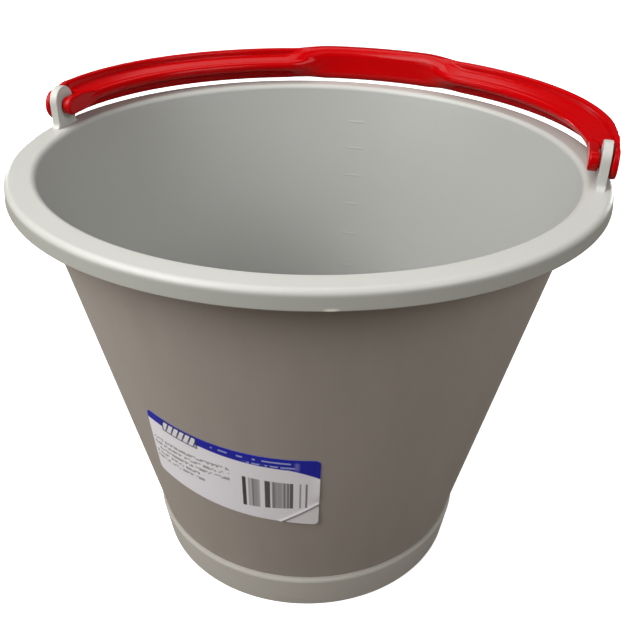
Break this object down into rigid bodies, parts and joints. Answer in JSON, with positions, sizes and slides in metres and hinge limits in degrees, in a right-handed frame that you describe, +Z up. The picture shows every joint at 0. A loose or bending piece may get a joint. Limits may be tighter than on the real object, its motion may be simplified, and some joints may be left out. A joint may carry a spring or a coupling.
{
  "type": "household bucket with swinging handle",
  "caption": "Round tapered plastic bucket with a flanged rim, moulded ears and foot band, a bowed handle that swings over the mouth, and a wrapped sticker",
  "frame": {"origin": "On the floor the bucket stands on, on the tub's own axis, in the middle of the foot's underside", "axes": "+Z is up along the tub's axis, X runs through the two ears along the handle's pivot axis, +Y points to the side on which the folded handle rests"},
  "size_m": [0.3115, 0.3239, 0.266],
  "materials": {
    "tub_plastic": "light grey moulded plastic with a soft sheen",
    "handle_plastic": "glossy red moulded plastic",
    "sticker_film": "white printed sticker with a blue band at the top"
  },
  "bodies": {
    "tub": {"tub": "tub_plastic", "sticker": "sticker_film"},
    "handle": {"handle": "handle_plastic"}
  },
  "joints": [
    {"name": "handle", "type": "hinge", "parent": "tub", "child": "handle", "pos_m": [0, 0, 0.2554], "axis": [1, 0, 0], "range_deg": [0, 180.29]}
  ]
}
